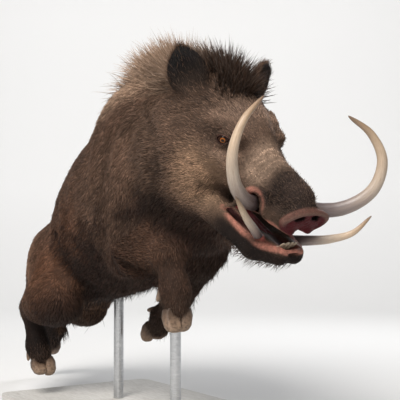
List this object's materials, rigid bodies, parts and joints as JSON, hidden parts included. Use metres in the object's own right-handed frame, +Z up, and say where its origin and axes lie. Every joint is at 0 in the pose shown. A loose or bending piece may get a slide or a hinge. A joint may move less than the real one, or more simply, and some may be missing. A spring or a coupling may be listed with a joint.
{
  "type": "wild boar museum model",
  "caption": "Life-size still model of a tusked adult male wild boar caught in mid leap with its mouth open, held over a flat display base by plain rods.",
  "frame": {"origin": "middle of the underside of the display base", "axes": "+Z up; the boar faces -Y; +X is its left side"},
  "size_m": [0.56, 1.7117, 1.1119],
  "materials": {
    "coat": "coarse grey-brown bristle coat, tan on the cheeks, near black below",
    "mane": "long dark bristles with greyish tips",
    "bare_skin": "moist dark pink-red bare skin",
    "tongue": "wet pink",
    "ivory": "satin ivory, warm at the tips, grey at the base",
    "horn": "brown horn, worn pale at the toes",
    "eye": "wet amber",
    "stand_base": "black stained, satin",
    "stand_rod": "satin steel"
  },
  "bodies": {
    "root": {"abdomen": "coat", "dewclaw_fore_left_inner": "horn", "dewclaw_fore_left_outer": "horn", "dewclaw_fore_right_inner": "horn", "dewclaw_fore_right_outer": "horn", "dewclaw_hind_left_inner": "horn", "dewclaw_hind_left_outer": "horn", "dewclaw_hind_right_inner": "horn", "dewclaw_hind_right_outer": "horn", "ear_left": "coat", "ear_right": "coat", "eye_left": "eye", "eye_right": "eye", "foot_fore_left": "coat", "foot_fore_right": "coat", "foot_hind_left": "coat", "foot_hind_right": "coat", "forearm_left": "coat", "forearm_right": "coat", "head": "coat", "hoof_fore_left_inner": "horn", "hoof_fore_left_outer": "horn", "hoof_fore_right_inner": "horn", "hoof_fore_right_outer": "horn", "hoof_hind_left_inner": "horn", "hoof_hind_left_outer": "horn", "hoof_hind_right_inner": "horn", "hoof_hind_right_outer": "horn", "lower_jaw": "coat", "mane": "mane", "neck": "coat", "rump": "coat", "shank_left": "coat", "shank_right": "coat", "snout": "bare_skin", "stand_base": "stand_base", "stand_rod_front": "stand_rod", "stand_rod_rear": "stand_rod", "tail": "coat", "thigh_left": "coat", "thigh_right": "coat", "thorax": "coat", "tongue": "tongue", "tusk_lower_left": "ivory", "tusk_lower_right": "ivory", "tusk_upper_left": "ivory", "tusk_upper_right": "ivory", "upper_arm_left": "coat", "upper_arm_right": "coat"}
  },
  "joints": []
}
